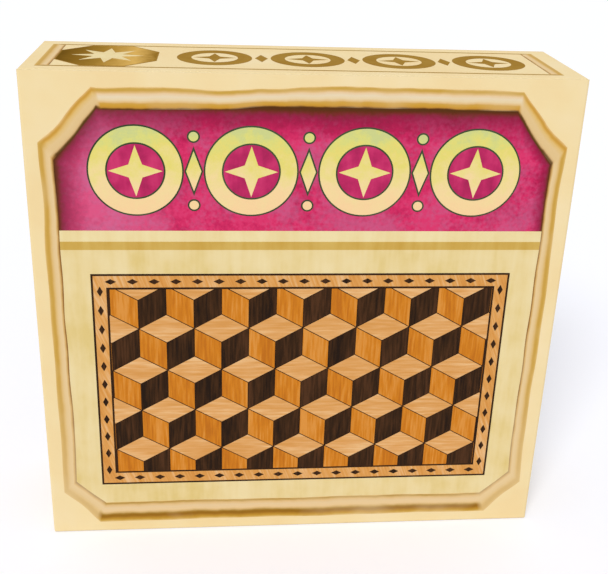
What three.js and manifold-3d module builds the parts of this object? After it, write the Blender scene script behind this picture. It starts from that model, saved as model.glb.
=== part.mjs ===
// Four in a row game in its tuck-top carton: a wooden base with seven posts, forty-two blocks that are
// threaded between the posts in six columns, a rules sheet, and the folded board carton round them.
// Units are millimetres, +Z is up, the carton's front faces -Y, and the origin is the middle of its foot.
import * as THREE from 'three';
import { mergeVertices } from 'three/addons/utils/BufferGeometryUtils.js';
import Module from 'manifold-3d';

const wasm = await Module();
wasm.setup();

// Counts
const COLUMNS = 6;
const POSTS = COLUMNS + 1;
const STORED_ROWS = 7;
const POST_ROWS = 6;

// Driving sizes of the wooden game
const POST_PITCH = 24;
const POST_DIAMETER = 12;
const POST_ABOVE_ROWS = 7;
const SOCKET_DEPTH = 12;
const SOCKET_PLAY = 0.15;
const BLOCK_HEIGHT = 21.8;
const BLOCK_DEPTH = 22;
const BLOCK_GAP = 0.4;
const BLOCK_CORNER = 1.2;
const BLOCK_EDGE = 0.8;
const CHANNEL_PLAY = 0.4;
const BASE_WIDTH = 44;
const BASE_HEIGHT = 23.5;
const BASE_EDGE = 1;

// Driving sizes of the carton
const BOARD = 1;
const SIDE_ROOM = 5;
const FRONT_ROOM = 4;
const HEAD_ROOM = 10.8;
const UPRIGHT_ROUND = 1;
const CREASE_ROUND = 0.6;
const CREASE_GAP = 0.1;
const SEAT_GAP = 0.02;
const SLIP = 0.3;
const LID_INSET = 0.3;
const LID_CORNER = 0.8;
const TUCK_LENGTH = 13;
const TUCK_SIDE_PLAY = 1;
const TUCK_CORNER = 7;
const TUCK_LEAN = THREE.MathUtils.degToRad(12);
const DUST_LENGTH = 42;
const DUST_FRONT_RELIEF = 4;
const DUST_BACK_RELIEF = 1.5;
const DUST_TIP_ROUND = 6;
const DUST_TAPER = THREE.MathUtils.degToRad(27);
const BOTTOM_DUST_LENGTH = 42;
const BOTTOM_DUST_INSET = 0.5;
const BOTTOM_DUST_CORNER = 5;
const BOTTOM_FREE_EDGE = 0.6;
const GLUE_TAB = 14;
const GLUE_TAB_END = 4;
const GLUE_TAB_TAPER = THREE.MathUtils.degToRad(15);

// Driving sizes of the folded rules sheet
const SHEET_SIDE_ROOM = 29;
const SHEET_HEIGHT = 105;
const SHEET_PAPER = 0.3;
const SHEET_OPENING = 0.3;

// How finely round forms are cut, and how far a cutter runs past what it cuts
const POST_FACETS = 16;
const DOME_STEPS = 4;
const CHANNEL_STEPS = 7;
const ROUND_STEPS = 2;
const FOLD_STEPS = 2;
const END_STEPS = 12;
const TIP_STEPS = 4;
const OVERRUN = 5;

// Sizes that follow from the driving ones
const POST_RADIUS = POST_DIAMETER / 2;
const ROW_STEP = BLOCK_HEIGHT + SEAT_GAP;
const BLOCK_WIDTH = POST_PITCH - BLOCK_GAP;
const CHANNEL_RADIUS = POST_RADIUS + CHANNEL_PLAY;
const BASE_LENGTH = COLUMNS * POST_PITCH + BASE_WIDTH;
const LAYER = BOARD + SEAT_GAP;
const FLOOR = 3 * LAYER;
const BASE_TOP = FLOOR + BASE_HEIGHT;
const STACK_TOP = BASE_TOP + SEAT_GAP + STORED_ROWS * ROW_STEP;
const CARTON_WIDTH = BASE_LENGTH + 2 * (SIDE_ROOM + BOARD);
const CARTON_DEPTH = BASE_WIDTH + 2 * (FRONT_ROOM + BOARD);
const CARTON_HEIGHT = STACK_TOP + HEAD_ROOM + 2 * LAYER;
const SIDE = CARTON_WIDTH / 2;
const BACK = CARTON_DEPTH / 2;
const FRONT = -BACK;
const LID_RUN = CARTON_DEPTH - BOARD - SLIP;
const SHEET_WIDTH = CARTON_WIDTH - 2 * (BOARD + SHEET_SIDE_ROOM);
const RIGHT_ANGLE = Math.PI / 2;
const SQUARE_FOLD = RIGHT_ANGLE / 2;
const TUCK_FOLD = (RIGHT_ANGLE - TUCK_LEAN) / 2;

const X = new THREE.Vector3(1, 0, 0);
const Y = new THREE.Vector3(0, 1, 0);
const Z = new THREE.Vector3(0, 0, 1);
const LEFTWARD = X.clone().negate();
const FORWARD = Y.clone().negate();
const DOWN = Z.clone().negate();

// Materials: printed board, bare wood and stained wood
const material = (color, roughness) => new THREE.MeshStandardMaterial({ color, roughness, metalness: 0 });
const printedBoard = () => material(0xf5dda6, 0.55);
const paper = () => material(0xf4ecd6, 0.7);
const beech = () => material(0xdc9a50, 0.5);
const lightWood = () => material(0xe0a45c, 0.5);
const darkWood = () => material(0x3a2413, 0.45);

// From three.js geometry to a solid that can be cut, and back
function solidFrom(geometry) {
  const bare = geometry.clone();
  bare.deleteAttribute('normal');
  bare.deleteAttribute('uv');
  const merged = mergeVertices(bare);
  return new wasm.Manifold(new wasm.Mesh({
    numProp: 3,
    vertProperties: merged.attributes.position.array,
    triVerts: Uint32Array.from(merged.index.array),
  }));
}

function geometryFrom(solid) {
  const mesh = solid.getMesh();
  const geometry = new THREE.BufferGeometry();
  geometry.setAttribute('position', new THREE.BufferAttribute(mesh.vertProperties, 3));
  geometry.setIndex(new THREE.BufferAttribute(mesh.triVerts, 1));
  geometry.computeVertexNormals();
  return geometry;
}

// A closed outline, given as [x, y] points, pulled along +Z
function prism(points, depth) {
  const shape = new THREE.Shape(points.map(([x, y]) => new THREE.Vector2(x, y)));
  return new THREE.ExtrudeGeometry(shape, { depth, bevelEnabled: false });
}

function arcPoints(centre, radius, from, to, steps) {
  const points = [];
  for (let step = 0; step <= steps; step += 1) {
    const angle = from + ((to - from) * step) / steps;
    points.push([centre[0] + radius * Math.cos(angle), centre[1] + radius * Math.sin(angle)]);
  }
  return points;
}

// A rectangle from its lowest to its highest corner, each corner cut to its own round
function roundedRectangle([x0, y0], [x1, y1], rounds) {
  const corners = [
    { at: [x1, y0], inward: [-1, 1], from: -RIGHT_ANGLE },
    { at: [x1, y1], inward: [-1, -1], from: 0 },
    { at: [x0, y1], inward: [1, -1], from: RIGHT_ANGLE },
    { at: [x0, y0], inward: [1, 1], from: 2 * RIGHT_ANGLE },
  ];
  return corners.flatMap(({ at, inward, from }, index) => {
    const round = rounds[index];
    if (round === 0) {
      return [at];
    }
    const centre = [at[0] + inward[0] * round, at[1] + inward[1] * round];
    return arcPoints(centre, round, from, from + RIGHT_ANGLE, ROUND_STEPS);
  });
}

// Folded board. A panel is drawn from its crease: u runs along the panel, w into the board from its
// outer face, and v along the crease. Both sides of a crease are mitred on the plane that halves the
// fold, with the outer arris rounded, so a panel can turn about the arris through three quarters.
function creaseEdge(halfAngle) {
  const setBack = CREASE_GAP / 2 / Math.sin(halfAngle);
  const centre = [setBack + CREASE_ROUND / Math.tan(halfAngle), CREASE_ROUND];
  const arc = arcPoints(centre, CREASE_ROUND, Math.PI + halfAngle, Math.PI + RIGHT_ANGLE, FOLD_STEPS);
  return [[setBack + BOARD / Math.tan(halfAngle), BOARD], ...arc];
}

// Puts a u, w, v piece at a crease: u and w are directions in the carton, and v is their cross product
function creaseFrame(origin, u, w) {
  const frame = new THREE.Matrix4().makeBasis(u, w, u.clone().cross(w));
  return frame.setPosition(new THREE.Vector3(...origin));
}

// The section of a panel; a second crease at its far end is optional
function panelSection(run, halfAngle, farHalfAngle) {
  const near = creaseEdge(halfAngle);
  if (farHalfAngle === undefined) {
    return [...near, [run, 0], [run, BOARD]];
  }
  const far = creaseEdge(farHalfAngle).map(([u, w]) => [run - u, w]).reverse();
  return [...near, ...far];
}

// A panel is its section pulled along the crease, trimmed to the plan that the die cuts, in [v, u] points
function cutPanel(section, plan, width) {
  const pulled = prism(section, width + 2 * OVERRUN);
  pulled.translate(0, 0, -width / 2 - OVERRUN);
  const die = prism(plan, BOARD + 2 * OVERRUN);
  die.translate(0, 0, -OVERRUN);
  die.applyMatrix4(new THREE.Matrix4().makeBasis(Z, X, Y));
  return geometryFrom(solidFrom(pulled).intersect(solidFrom(die)));
}

// What is cut off a wall at a crease, so that the next panel can fold there
function creaseCutter(origin, u, w, length) {
  const edge = creaseEdge(SQUARE_FOLD);
  const tangent = edge[edge.length - 1][0];
  const outline = [...edge, [tangent, -OVERRUN], [-OVERRUN, -OVERRUN], [-OVERRUN, BOARD]];
  const cutter = prism(outline, length);
  cutter.translate(0, 0, -length / 2);
  cutter.applyMatrix4(creaseFrame(origin, u, w));
  return solidFrom(cutter);
}

// The four walls, wrapped round and glued: the left wall turns in behind the back wall as the glue tab
function wallRing() {
  const round = UPRIGHT_ROUND;
  const seam = BACK - BOARD;
  const seamRound = Math.min(CREASE_ROUND, BOARD / 2);
  const outside = prism([
    ...arcPoints([-SIDE + round, FRONT + round], round, Math.PI, Math.PI + RIGHT_ANGLE, ROUND_STEPS),
    ...arcPoints([SIDE - round, FRONT + round], round, -RIGHT_ANGLE, 0, ROUND_STEPS),
    ...arcPoints([SIDE - round, BACK - round], round, 0, RIGHT_ANGLE, ROUND_STEPS),
    [-SIDE, BACK],
    [-SIDE, seam],
    ...arcPoints([-SIDE + seamRound, seam - seamRound], seamRound, RIGHT_ANGLE, Math.PI, ROUND_STEPS),
  ], CARTON_HEIGHT);
  const tabEdge = -SIDE + BOARD + GLUE_TAB;
  const inside = prism([
    [-SIDE + BOARD, FRONT + BOARD],
    [SIDE - BOARD, FRONT + BOARD],
    [SIDE - BOARD, seam],
    [tabEdge, seam],
    [tabEdge, seam - BOARD],
    [-SIDE + BOARD, seam - BOARD],
  ], CARTON_HEIGHT + 2 * OVERRUN);
  inside.translate(0, 0, -OVERRUN);
  return solidFrom(outside).subtract(solidFrom(inside));
}

// The glue tab stops short of the flaps at both ends, with slanting ends
function glueTabTrim(end, towards) {
  const start = end - towards * GLUE_TAB_END;
  const reach = GLUE_TAB + OVERRUN;
  const slant = towards * reach * Math.tan(GLUE_TAB_TAPER);
  const root = -SIDE + BOARD;
  const beyond = end + towards * OVERRUN;
  const outline = [[start, root], [start - slant, root + reach], [beyond, root + reach], [beyond, root]];
  const trim = prism(outline, BOARD + OVERRUN);
  trim.applyMatrix4(new THREE.Matrix4().makeBasis(Z, X, Y));
  trim.translate(0, BACK - 2 * BOARD - OVERRUN, 0);
  return solidFrom(trim);
}

function cartonSleeve() {
  const wide = CARTON_WIDTH + 2 * OVERRUN;
  const between = CARTON_DEPTH - 2 * BOARD;
  const cutters = [
    creaseCutter([0, BACK, CARTON_HEIGHT], DOWN, FORWARD, wide),
    creaseCutter([0, BACK, LAYER], Z, FORWARD, wide),
    creaseCutter([0, FRONT, 0], Z, Y, wide),
    glueTabTrim(CARTON_HEIGHT - 2 * LAYER, 1),
    glueTabTrim(FLOOR, -1),
  ];
  for (const [side, inward] of [[-SIDE, X], [SIDE, LEFTWARD]]) {
    cutters.push(creaseCutter([side, 0, CARTON_HEIGHT - LAYER], DOWN, inward, between));
    cutters.push(creaseCutter([side, 0, 2 * LAYER], Z, inward, between));
  }
  const cut = cutters.reduce((walls, cutter) => walls.subtract(cutter), wallRing());
  return geometryFrom(cut);
}

function lidPanel() {
  const half = SIDE - LID_INSET;
  const plan = roundedRectangle([-half, 0], [half, LID_RUN], [LID_CORNER, 0, 0, LID_CORNER]);
  return cutPanel(panelSection(LID_RUN, SQUARE_FOLD, TUCK_FOLD), plan, CARTON_WIDTH);
}

function tuckFlap() {
  const half = SIDE - BOARD - TUCK_SIDE_PLAY;
  const corner = TUCK_CORNER;
  const shoulder = TUCK_LENGTH - corner;
  const plan = [
    [-half, 0],
    [half, 0],
    ...arcPoints([half - corner, shoulder], corner, 0, RIGHT_ANGLE, TIP_STEPS),
    ...arcPoints([corner - half, shoulder], corner, RIGHT_ANGLE, Math.PI, TIP_STEPS),
  ];
  return cutPanel(panelSection(TUCK_LENGTH, TUCK_FOLD), plan, CARTON_WIDTH);
}

// A dust flap is relieved at the front for the tuck flap, and tapers at the back, where the lid lifts least
function dustFlap(backSign) {
  const front = FRONT + BOARD + DUST_FRONT_RELIEF;
  const back = BACK - BOARD - DUST_BACK_RELIEF;
  const tipBack = back - DUST_LENGTH * Math.tan(DUST_TAPER);
  const round = DUST_TIP_ROUND;
  const plan = [
    [front, 0],
    [back, 0],
    [tipBack, DUST_LENGTH],
    ...arcPoints([front + round, DUST_LENGTH - round], round, RIGHT_ANGLE, Math.PI, TIP_STEPS),
  ].map(([v, u]) => [backSign * v, u]);
  return cutPanel(panelSection(DUST_LENGTH, SQUARE_FOLD), plan, CARTON_DEPTH);
}

function bottomFlap(run) {
  const half = SIDE - LID_INSET;
  const plan = roundedRectangle([-half, 0], [half, run], [LID_CORNER, LID_CORNER, LID_CORNER, LID_CORNER]);
  return cutPanel(panelSection(run, SQUARE_FOLD), plan, CARTON_WIDTH);
}

function bottomDustFlap() {
  const half = BACK - BOARD - BOTTOM_DUST_INSET;
  const corner = BOTTOM_DUST_CORNER;
  const plan = roundedRectangle([-half, 0], [half, BOTTOM_DUST_LENGTH], [0, corner, corner, 0]);
  return cutPanel(panelSection(BOTTOM_DUST_LENGTH, SQUARE_FOLD), plan, CARTON_DEPTH);
}

// The rules sheet, folded once down its left edge and standing behind the base
function rulesSheet() {
  const outer = SHEET_PAPER + SHEET_OPENING / 2;
  const inner = SHEET_OPENING / 2;
  const outline = [
    [SHEET_WIDTH, outer],
    ...arcPoints([outer, 0], outer, RIGHT_ANGLE, 3 * RIGHT_ANGLE, TIP_STEPS),
    [SHEET_WIDTH, -outer],
    [SHEET_WIDTH, -inner],
    ...arcPoints([outer, 0], inner, 3 * RIGHT_ANGLE, RIGHT_ANGLE, TIP_STEPS),
    [SHEET_WIDTH, inner],
  ];
  const sheet = prism(outline, SHEET_HEIGHT);
  sheet.translate(-SHEET_WIDTH / 2, BACK - BOARD - SLIP - outer, FLOOR);
  return sheet;
}

// The wooden base: a bar with round ends about the end posts, with a blind socket for each post
function postX(index) {
  return (index - COLUMNS / 2) * POST_PITCH;
}

function gameBase() {
  const end = BASE_WIDTH / 2;
  const outline = [
    ...arcPoints([postX(COLUMNS), 0], end, -RIGHT_ANGLE, RIGHT_ANGLE, END_STEPS),
    ...arcPoints([postX(0), 0], end, RIGHT_ANGLE, 3 * RIGHT_ANGLE, END_STEPS),
  ].map(([x, y]) => new THREE.Vector2(x, y));
  const bar = new THREE.ExtrudeGeometry(new THREE.Shape(outline), {
    depth: BASE_HEIGHT - 2 * BASE_EDGE,
    bevelThickness: BASE_EDGE,
    bevelSize: BASE_EDGE,
    bevelOffset: -BASE_EDGE,
    bevelSegments: ROUND_STEPS,
  });
  bar.translate(0, 0, FLOOR + BASE_EDGE);
  let solid = solidFrom(bar);
  const radius = POST_RADIUS + SOCKET_PLAY;
  const length = SOCKET_DEPTH + OVERRUN;
  for (let index = 0; index < POSTS; index += 1) {
    const socket = new THREE.CylinderGeometry(radius, radius, length, POST_FACETS);
    socket.rotateX(RIGHT_ANGLE);
    socket.translate(postX(index), 0, BASE_TOP - SOCKET_DEPTH + length / 2);
    solid = solid.subtract(solidFrom(socket));
  }
  return geometryFrom(solid);
}

// A post stands in its socket, passes six rows of blocks and ends in a dome
function post() {
  const foot = BASE_TOP - SOCKET_DEPTH + SEAT_GAP;
  const top = BASE_TOP + SEAT_GAP + POST_ROWS * ROW_STEP + POST_ABOVE_ROWS;
  const shoulder = top - foot - POST_RADIUS;
  const dome = arcPoints([0, shoulder], POST_RADIUS, 0, RIGHT_ANGLE, DOME_STEPS).slice(0, -1);
  const profile = [[0, 0], [POST_RADIUS, 0], ...dome, [0, shoulder + POST_RADIUS]];
  const turned = new THREE.LatheGeometry(profile.map(([r, h]) => new THREE.Vector2(r, h)), POST_FACETS);
  turned.rotateX(RIGHT_ANGLE);
  turned.translate(0, 0, foot);
  return geometryFrom(solidFrom(turned));
}

// A block is an I in plan: two flanges and a web, with a round channel on each side that runs on a post
function blockOutline() {
  const half = BLOCK_WIDTH / 2;
  const deep = BLOCK_DEPTH / 2;
  const round = BLOCK_CORNER;
  const mouth = Math.acos((POST_PITCH - BLOCK_WIDTH) / 2 / CHANNEL_RADIUS);
  const halfOutline = [
    ...arcPoints([half - round, -deep + round], round, -RIGHT_ANGLE, 0, ROUND_STEPS),
    ...arcPoints([POST_PITCH / 2, 0], CHANNEL_RADIUS, Math.PI + mouth, Math.PI - mouth, CHANNEL_STEPS),
    ...arcPoints([half - round, deep - round], round, 0, RIGHT_ANGLE, ROUND_STEPS),
  ];
  return [...halfOutline, ...halfOutline.map(([x, y]) => [-x, -y])];
}

function block() {
  const shape = new THREE.Shape(blockOutline().map(([x, y]) => new THREE.Vector2(x, y)));
  const moulded = new THREE.ExtrudeGeometry(shape, {
    depth: BLOCK_HEIGHT - 2 * BLOCK_EDGE,
    bevelThickness: BLOCK_EDGE,
    bevelSize: BLOCK_EDGE,
    bevelOffset: -BLOCK_EDGE,
    bevelSegments: 1,
  });
  moulded.translate(0, 0, BLOCK_EDGE);
  return moulded;
}

// Which blocks are dark, row by row from the base up; the two colours have twenty-one each
const DARK_ROWS = [
  [0, 1, 0, 1, 0, 1],
  [1, 0, 1, 0, 1, 0],
  [1, 0, 0, 1, 0, 0],
  [0, 0, 1, 1, 1, 0],
  [1, 0, 1, 1, 0, 1],
  [0, 1, 0, 1, 0, 1],
  [1, 0, 1, 0, 1, 0],
];

// Assembly
const game = new THREE.Group();

function addMesh(parent, name, geometry, finish) {
  const mesh = new THREE.Mesh(geometry, finish);
  mesh.name = name;
  parent.add(mesh);
  return mesh;
}

function addPanel(parent, name, geometry, origin, u, w) {
  addMesh(parent, name, geometry, printedBoard()).applyMatrix4(creaseFrame(origin, u, w));
}

const carton = new THREE.Group();
game.add(carton);
addMesh(carton, 'carton_sleeve', cartonSleeve(), printedBoard());
addPanel(carton, 'carton_lid', lidPanel(), [0, BACK, CARTON_HEIGHT], FORWARD, DOWN);
const tuckDown = new THREE.Vector3(0, Math.sin(TUCK_LEAN), -Math.cos(TUCK_LEAN));
const tuckInward = new THREE.Vector3(0, Math.cos(TUCK_LEAN), Math.sin(TUCK_LEAN));
addPanel(carton, 'tuck_flap', tuckFlap(), [0, BACK - LID_RUN, CARTON_HEIGHT], tuckDown, tuckInward);
addPanel(carton, 'dust_flap_left', dustFlap(1), [-SIDE, 0, CARTON_HEIGHT - LAYER], X, DOWN);
addPanel(carton, 'dust_flap_right', dustFlap(-1), [SIDE, 0, CARTON_HEIGHT - LAYER], LEFTWARD, DOWN);
addPanel(carton, 'bottom_outer_flap', bottomFlap(CARTON_DEPTH - BOTTOM_FREE_EDGE), [0, FRONT, 0], Y, Z);
const innerRun = CARTON_DEPTH - BOARD - BOTTOM_FREE_EDGE;
addPanel(carton, 'bottom_inner_flap', bottomFlap(innerRun), [0, BACK, LAYER], FORWARD, Z);
addPanel(carton, 'bottom_dust_flap_left', bottomDustFlap(), [-SIDE, 0, 2 * LAYER], X, Z);
addPanel(carton, 'bottom_dust_flap_right', bottomDustFlap(), [SIDE, 0, 2 * LAYER], LEFTWARD, Z);
addMesh(carton, 'rules_sheet', rulesSheet(), paper());

const stand = new THREE.Group();
game.add(stand);
addMesh(stand, 'game_base', gameBase(), beech());
for (let index = 0; index < POSTS; index += 1) {
  addMesh(stand, `post_${index + 1}`, post(), beech()).position.x = postX(index);
}

for (let column = 0; column < COLUMNS; column += 1) {
  const stack = new THREE.Group();
  stack.position.set((postX(column) + postX(column + 1)) / 2, 0, BASE_TOP + SEAT_GAP);
  game.add(stack);
  for (let row = 0; row < STORED_ROWS; row += 1) {
    const isDark = DARK_ROWS[row][column] === 1;
    const name = `block_c${column + 1}_r${row + 1}_${isDark ? 'dark' : 'light'}`;
    const finish = isDark ? darkWood() : lightWood();
    addMesh(stack, name, block(), finish).position.z = row * ROW_STEP;
  }
}

export default game;
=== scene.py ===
# %% [markdown]
# # A four in a row game in its printed carton
# The object is a closed carton of printed board with a wooden game standing inside it. The imported model holds
# every piece at its real size, so nothing is moved or resized here. This script gives each surface its finish,
# lays the print on the board as thin layers of ink, and sets the light and the camera.

# %% Load the imported model
import math

import bpy
from mathutils import Euler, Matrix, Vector


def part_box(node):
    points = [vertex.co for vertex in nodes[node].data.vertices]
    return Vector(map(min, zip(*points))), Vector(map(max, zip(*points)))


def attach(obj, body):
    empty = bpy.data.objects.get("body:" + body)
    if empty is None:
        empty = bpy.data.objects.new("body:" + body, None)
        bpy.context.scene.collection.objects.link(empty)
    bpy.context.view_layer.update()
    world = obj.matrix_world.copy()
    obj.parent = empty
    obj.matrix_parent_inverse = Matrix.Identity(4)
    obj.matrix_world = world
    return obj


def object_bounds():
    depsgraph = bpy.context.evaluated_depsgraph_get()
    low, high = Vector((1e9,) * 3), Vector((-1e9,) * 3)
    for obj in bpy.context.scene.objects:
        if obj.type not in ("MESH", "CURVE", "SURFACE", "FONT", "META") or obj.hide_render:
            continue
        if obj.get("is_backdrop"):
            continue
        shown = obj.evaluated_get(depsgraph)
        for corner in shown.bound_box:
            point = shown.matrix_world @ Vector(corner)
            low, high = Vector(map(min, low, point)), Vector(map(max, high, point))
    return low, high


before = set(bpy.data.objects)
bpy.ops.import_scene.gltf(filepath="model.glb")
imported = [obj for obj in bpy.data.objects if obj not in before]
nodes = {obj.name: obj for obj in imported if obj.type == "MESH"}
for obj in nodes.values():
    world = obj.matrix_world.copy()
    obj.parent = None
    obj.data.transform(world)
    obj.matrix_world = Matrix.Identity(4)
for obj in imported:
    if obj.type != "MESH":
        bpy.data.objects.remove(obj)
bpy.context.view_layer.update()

MM = 0.001

# %% [markdown]
# ## Small tools for finishes
# Inks and stains are given as sRGB hex values, but shaders work in linear light, so one function does the
# change. A second one feeds the inputs of a shader node, and a third adds a node with its settings, which keeps
# each finish below down to a short recipe. The last one turns a pattern's real size into its texture's scale.
# Inputs that share a name are given by number: a sum takes 0 and 1, and a mix takes its share at 0, two numbers
# at 2 and 3, or two colours at 6 and 7. A node that maps one range to another takes each range as a pair.

# %% Colour, node and scale helpers
def ink(hex_value):
    """A colour socket's value for an sRGB hex colour."""
    shares = [int(hex_value[start:start + 2], 16) / 255 for start in (1, 3, 5)]
    linear = [share / 12.92 if share <= 0.04045 else ((share + 0.055) / 1.055) ** 2.4 for share in shares]
    return (*linear, 1.0)


def feed(node, feeds):
    """Gives a node's inputs a value or a wire. A node stands for the first of its outputs that is in use."""
    for name, value in feeds.items():
        if isinstance(value, bpy.types.Node):
            value = next(output for output in value.outputs if output.enabled)
        if name in ("From", "To"):
            feed(node, {f"{name} Min": value[0], f"{name} Max": value[1]})
        elif isinstance(value, bpy.types.NodeSocket):
            node.id_data.links.new(value, node.inputs[name])
        else:
            node.inputs[name].default_value = value


def add(tree, kind, feeds=None, stops=None, **settings):
    """Adds a shader node with its settings, feeds its inputs, and fills its colour ramp with stops."""
    node = tree.nodes.new("ShaderNode" + kind)
    for name, value in settings.items():
        setattr(node, name, value)
    feed(node, feeds or {})
    if stops:
        elements = node.color_ramp.elements
        elements.remove(elements[-1])
        elements[0].position = stops[0][0]
        elements[0].color = ink(stops[0][1])
        for place, hex_value in stops[1:]:
            elements.new(place).color = ink(hex_value)
    return node


def new_finish(name):
    """A material, its node tree and its main shader."""
    material = bpy.data.materials.new(name)
    material.use_nodes = True
    return material, material.node_tree, material.node_tree.nodes["Principled BSDF"]


def per_mm(feature):
    """The texture scale at which a pattern's features are about so many millimetres wide."""
    return 1 / (feature * MM)


print("cream board in linear light:", [round(channel, 3) for channel in ink("#F5DDA6")[:3]])

# %% [markdown]
# ## The camera
# The picture looks down on the carton from a little left of its middle. A camera was fitted to the six corners
# that the picture shows, with the carton at its real size, which gave the place, the turn and the lens. The
# uprights run together towards the foot because the camera looks down, and a small shift of the lens stands
# for the part of the picture that was trimmed away.

# %% Camera
CAMERA_PLACE_MM = (-30.0, -346.5, 260.5)
CAMERA_TURN_DEGREES = (67.944, -2.192, -5.273)
FOCAL_LENGTH_MM = 55.22
PICTURE_WIDTH_PX = 608
PICTURE_HEIGHT_PX = 574
LENS_AXIS_PX = (318, 240)

camera = bpy.data.objects.new("camera", bpy.data.cameras.new("camera"))
bpy.context.scene.collection.objects.link(camera)
camera.location = Vector(CAMERA_PLACE_MM) * MM
camera.rotation_euler = Euler([math.radians(turn) for turn in CAMERA_TURN_DEGREES])
camera.data.lens = FOCAL_LENGTH_MM
camera.data.shift_x = (PICTURE_WIDTH_PX / 2 - LENS_AXIS_PX[0]) / PICTURE_WIDTH_PX
camera.data.shift_y = (LENS_AXIS_PX[1] - PICTURE_HEIGHT_PX / 2) / PICTURE_WIDTH_PX
bpy.context.scene.camera = camera
print(f"camera {camera.location.length / MM:.0f} mm from the carton's foot, lens {FOCAL_LENGTH_MM} mm")

# %% [markdown]
# ## Stage and light
# Packaging is photographed in a white cove under large soft lights, so that the print shows evenly and only a
# faint shadow is left. Here a white sky gives the even part. It lights at less than full strength but looks
# fully white to the camera and in reflections, which a test of the kind of ray tells apart.

# %% Sky
WHITE_HEX = "#FFFFFF"
SKY_HEX = "#F6F8FF"
SKY_STRENGTH = 0.63


def seen_directly(tree):
    """One for what is seen straight, mirrored or through glass, and nought for what lights the object."""
    rays = add(tree, "LightPath").outputs
    mirrored = add(tree, "Math", {0: rays["Is Camera Ray"], 1: rays["Is Glossy Ray"]}, operation="MAXIMUM")
    return add(tree, "Math", {0: mirrored, 1: rays["Is Transmission Ray"]}, operation="MAXIMUM")


cove = bpy.data.worlds.new("white_cove")
cove.use_nodes = True
tree = cove.node_tree
direct = seen_directly(tree)
sky_level = add(tree, "Mix", {0: direct, 2: SKY_STRENGTH, 3: 1.0})
sky_colour = add(tree, "Mix", {0: direct, 6: ink(SKY_HEX), 7: ink(WHITE_HEX)}, data_type="RGBA")
feed(tree.nodes["Background"], {"Strength": sky_level, "Color": sky_colour})
bpy.context.scene.world = cove
print("sky lights the object at", SKY_STRENGTH)

# %% [markdown]
# One broad lamp from the front left adds direction, and its wide disc gives the soft shadow on the right. The
# floor is painted a pale grey. A little glow that only the camera and reflections see lifts it to white where
# it is lit, and leaves the shadow.

# %% Floor and key lamp
FLOOR_HEX = "#E6E6EA"
FLOOR_GLOW = 0.25
FLOOR_HALF_WIDTH_M = 4.0
FLOOR_DROP_MM = 0.1
MATT = 1.0
NO_SHINE = 0.0
KEY_STRENGTH = 1.6
KEY_DISC_DEGREES = 20
KEY_HEIGHT_DEGREES = 45
KEY_LEFT_DEGREES = 25

# Matt cove paint: flat and without any shine, so that it never competes with the carton.
floor_paint, tree, shader = new_finish("matt_cove_paint")
glow = add(tree, "Math", {0: seen_directly(tree), 1: FLOOR_GLOW}, operation="MULTIPLY")
feed(shader, {"Base Color": ink(FLOOR_HEX), "Roughness": MATT, "Specular IOR Level": NO_SHINE,
              "Emission Color": ink(WHITE_HEX), "Emission Strength": glow})

reach, drop = FLOOR_HALF_WIDTH_M, -FLOOR_DROP_MM * MM
corners = [(-reach, -reach, drop), (reach, -reach, drop), (reach, reach, drop), (-reach, reach, drop)]
floor_mesh = bpy.data.meshes.new("floor")
floor_mesh.from_pydata(corners, [], [(0, 1, 2, 3)])
floor_mesh.materials.append(floor_paint)
floor = bpy.data.objects.new("floor", floor_mesh)
bpy.context.scene.collection.objects.link(floor)
floor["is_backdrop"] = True

key_light = bpy.data.lights.new("key", "SUN")
key_light.energy = KEY_STRENGTH
key_light.angle = math.radians(KEY_DISC_DEGREES)
key = bpy.data.objects.new("key", key_light)
key.rotation_euler = Euler([math.radians(90 - KEY_HEIGHT_DEGREES), 0, -math.radians(KEY_LEFT_DEGREES)])
bpy.context.scene.collection.objects.link(key)
bpy.context.scene.view_settings.view_transform = "Standard"
print(f"key lamp {KEY_HEIGHT_DEGREES} degrees up, {KEY_LEFT_DEGREES} degrees to the left")

# %% [markdown]
# ## Printed board
# The carton is litho-laminated micro-flute board: a printed and varnished paper sheet, a wavy paper core, and a
# plain liner inside. Every printed surface shares the varnish, so it comes first: a satin sheen, broken up by
# the paper under it. A real varnish reflects about four percent of the light, but in an all-white cove that
# lays a veil on dark inks, so it is turned down here.

# %% Varnish
# A noise adds up ever finer layers: with one or two it looks soft, with three even, and with four ragged.
ONE_LAYER, SOFT, EVEN, RAGGED = 1.0, 2.0, 3.0, 4.0
# Single paper fibres are too fine to show from here, so the paper's tooth is drawn at the size of its clumps.
FIBRE_CLUMP_MM = 0.9
FIBRE_RELIEF_MM = 0.05
FIBRE_RELIEF_SHARE = 0.12
VARNISH_ROUGHNESS = (0.5, 0.62)
VARNISH_SHINE = 0.08


def coat(tree, shader, colour, shine, tooth, roughness, relief_share, relief_mm):
    """Lays a clear coat over a colour. A fine noise, the tooth, shows in its gloss and in its relief."""
    gloss = add(tree, "MapRange", {"Value": tooth, "To": roughness})
    relief = add(tree, "Bump", {"Height": tooth, "Strength": relief_share, "Distance": relief_mm * MM})
    feed(shader, {"Base Color": colour, "Roughness": gloss, "Normal": relief, "Specular IOR Level": shine})


def varnish(tree, shader, place, colour, shine=VARNISH_SHINE):
    """The satin coat that lies over every ink, with the faint relief of the paper."""
    fibre = add(tree, "TexNoise", {"Vector": place, "Scale": per_mm(FIBRE_CLUMP_MM), "Detail": EVEN})
    coat(tree, shader, colour, shine, fibre, VARNISH_ROUGHNESS, FIBRE_RELIEF_SHARE, FIBRE_RELIEF_MM)


print("varnish roughness", VARNISH_ROUGHNESS)
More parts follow.
